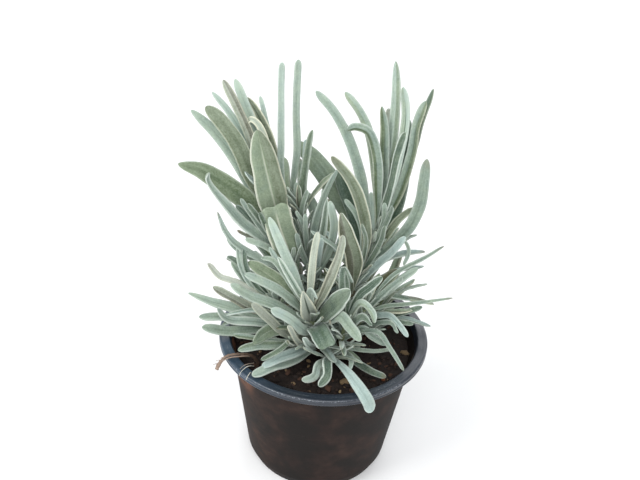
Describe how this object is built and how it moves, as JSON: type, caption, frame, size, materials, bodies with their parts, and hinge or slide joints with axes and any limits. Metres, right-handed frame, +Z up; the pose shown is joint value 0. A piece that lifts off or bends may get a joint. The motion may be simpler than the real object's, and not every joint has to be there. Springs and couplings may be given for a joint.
{
  "type": "potted english lavender",
  "caption": "Young lavender plant with narrow grey-green felted leaves on short stems, standing in soil in a small round tapered nursery pot.",
  "frame": {"origin": "middle of the pot's flat base, on the surface that the pot stands on", "axes": "+Z up along the pot's axis; -Y towards the viewer in front of the plant; +X to the viewer's right"},
  "size_m": [0.1411, 0.1512, 0.22],
  "materials": {
    "pot": "black moulded plastic, satin on the rim, dusty on the wall",
    "soil": "dark crumbly potting soil with bark chips and grit",
    "leaf": "matte felted leaf, grey-green above and olive below, with pale margins",
    "dry_stalk": "dead brown stalk, matte and fibrous"
  },
  "bodies": {
    "root": {"pot": "pot", "soil": "soil", "dry_stalk": "dry_stalk", "shoot_left": "leaf", "shoot_middle": "leaf", "shoot_right": "leaf", "shoot_front": "leaf", "shoot_rim": "leaf", "shoot_front_left": "leaf", "shoot_front_right": "leaf", "shoot_low_left": "leaf", "shoot_low_right": "leaf", "shoot_back": "leaf", "shoot_back_left": "leaf", "shoot_back_right": "leaf", "shoot_side_left": "leaf", "shoot_side_right": "leaf"}
  },
  "joints": []
}
